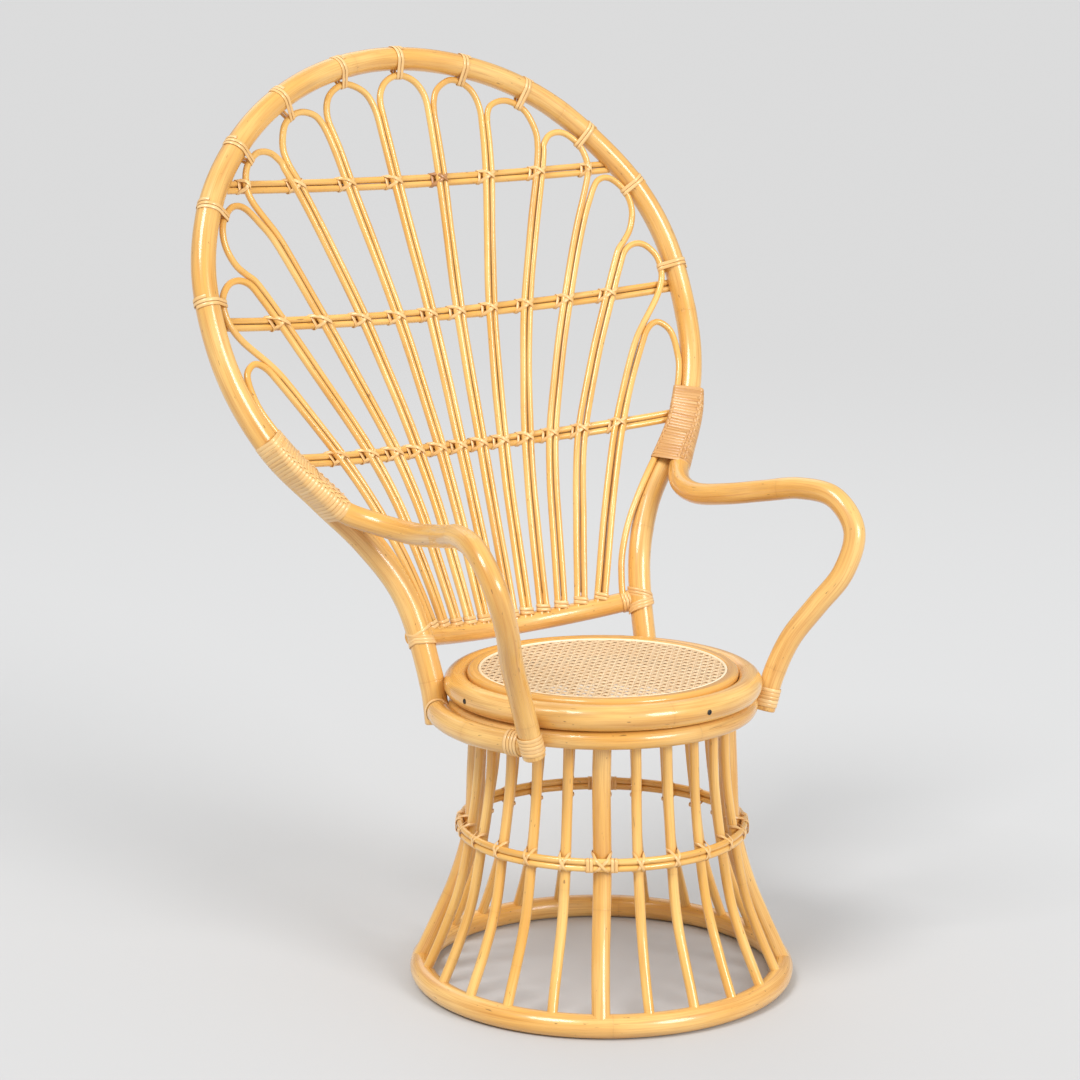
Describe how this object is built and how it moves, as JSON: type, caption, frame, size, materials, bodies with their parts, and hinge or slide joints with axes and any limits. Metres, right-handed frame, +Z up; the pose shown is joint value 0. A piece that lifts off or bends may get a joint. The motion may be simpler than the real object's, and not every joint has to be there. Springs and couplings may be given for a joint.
{
  "type": "peacock chair",
  "caption": "Peacock chair with a drum base of rattan canes, a round cane seat, bent arms and a tall fan back of looped canes inside a hoop.",
  "frame": {"origin": "on the floor, under the middle of the chair's bounding box", "axes": "+Z up, -Y the way the sitter faces, +X to the right of someone who looks at the chair from its front"},
  "size_m": [0.8484, 0.7594, 1.2563],
  "materials": {
    "cane": "honey-coloured lacquered rattan cane, glossy",
    "deep_cane": "darker lacquered rattan cane, glossy",
    "strip": "pale flat rattan strip, half gloss",
    "panel": "woven cane webbing, pale, matt"
  },
  "bodies": {
    "root": {"floor_ring": "cane", "waist_hoop": "cane", "apron_ring": "cane", "seat_ring": "cane", "back_hoop": "cane", "back_rail": "cane", "arm_left": "cane", "arm_right": "cane", "side_rail_left": "cane", "side_rail_right": "cane", "leg_1": "cane", "leg_2": "cane", "leg_3": "cane", "leg_4": "cane", "loop_1": "cane", "loop_2": "cane", "loop_3": "cane", "loop_4": "cane", "loop_5": "cane", "loop_6": "cane", "loop_7": "cane", "loop_8": "cane", "loop_9": "cane", "loop_10": "cane", "loop_11": "cane", "loop_12": "cane", "loop_13": "cane", "crossbar_1": "cane", "crossbar_2": "cane", "crossbar_3": "cane", "base_top_ring": "deep_cane", "cane_frame": "deep_cane", "spindle_1": "deep_cane", "spindle_2": "deep_cane", "spindle_3": "deep_cane", "spindle_4": "deep_cane", "spindle_5": "deep_cane", "spindle_6": "deep_cane", "spindle_7": "deep_cane", "spindle_8": "deep_cane", "spindle_9": "deep_cane", "spindle_10": "deep_cane", "spindle_11": "deep_cane", "spindle_12": "deep_cane", "spindle_13": "deep_cane", "spindle_14": "deep_cane", "spindle_15": "deep_cane", "spindle_16": "deep_cane", "spindle_17": "deep_cane", "spindle_18": "deep_cane", "spindle_19": "deep_cane", "spindle_20": "deep_cane", "splice_binding_left": "strip", "splice_binding_right": "strip", "rail_binding_left": "strip", "rail_binding_right": "strip", "foot_binding_left": "strip", "foot_binding_right": "strip", "cane_cord": "strip", "cane_panel": "panel"}
  },
  "joints": []
}
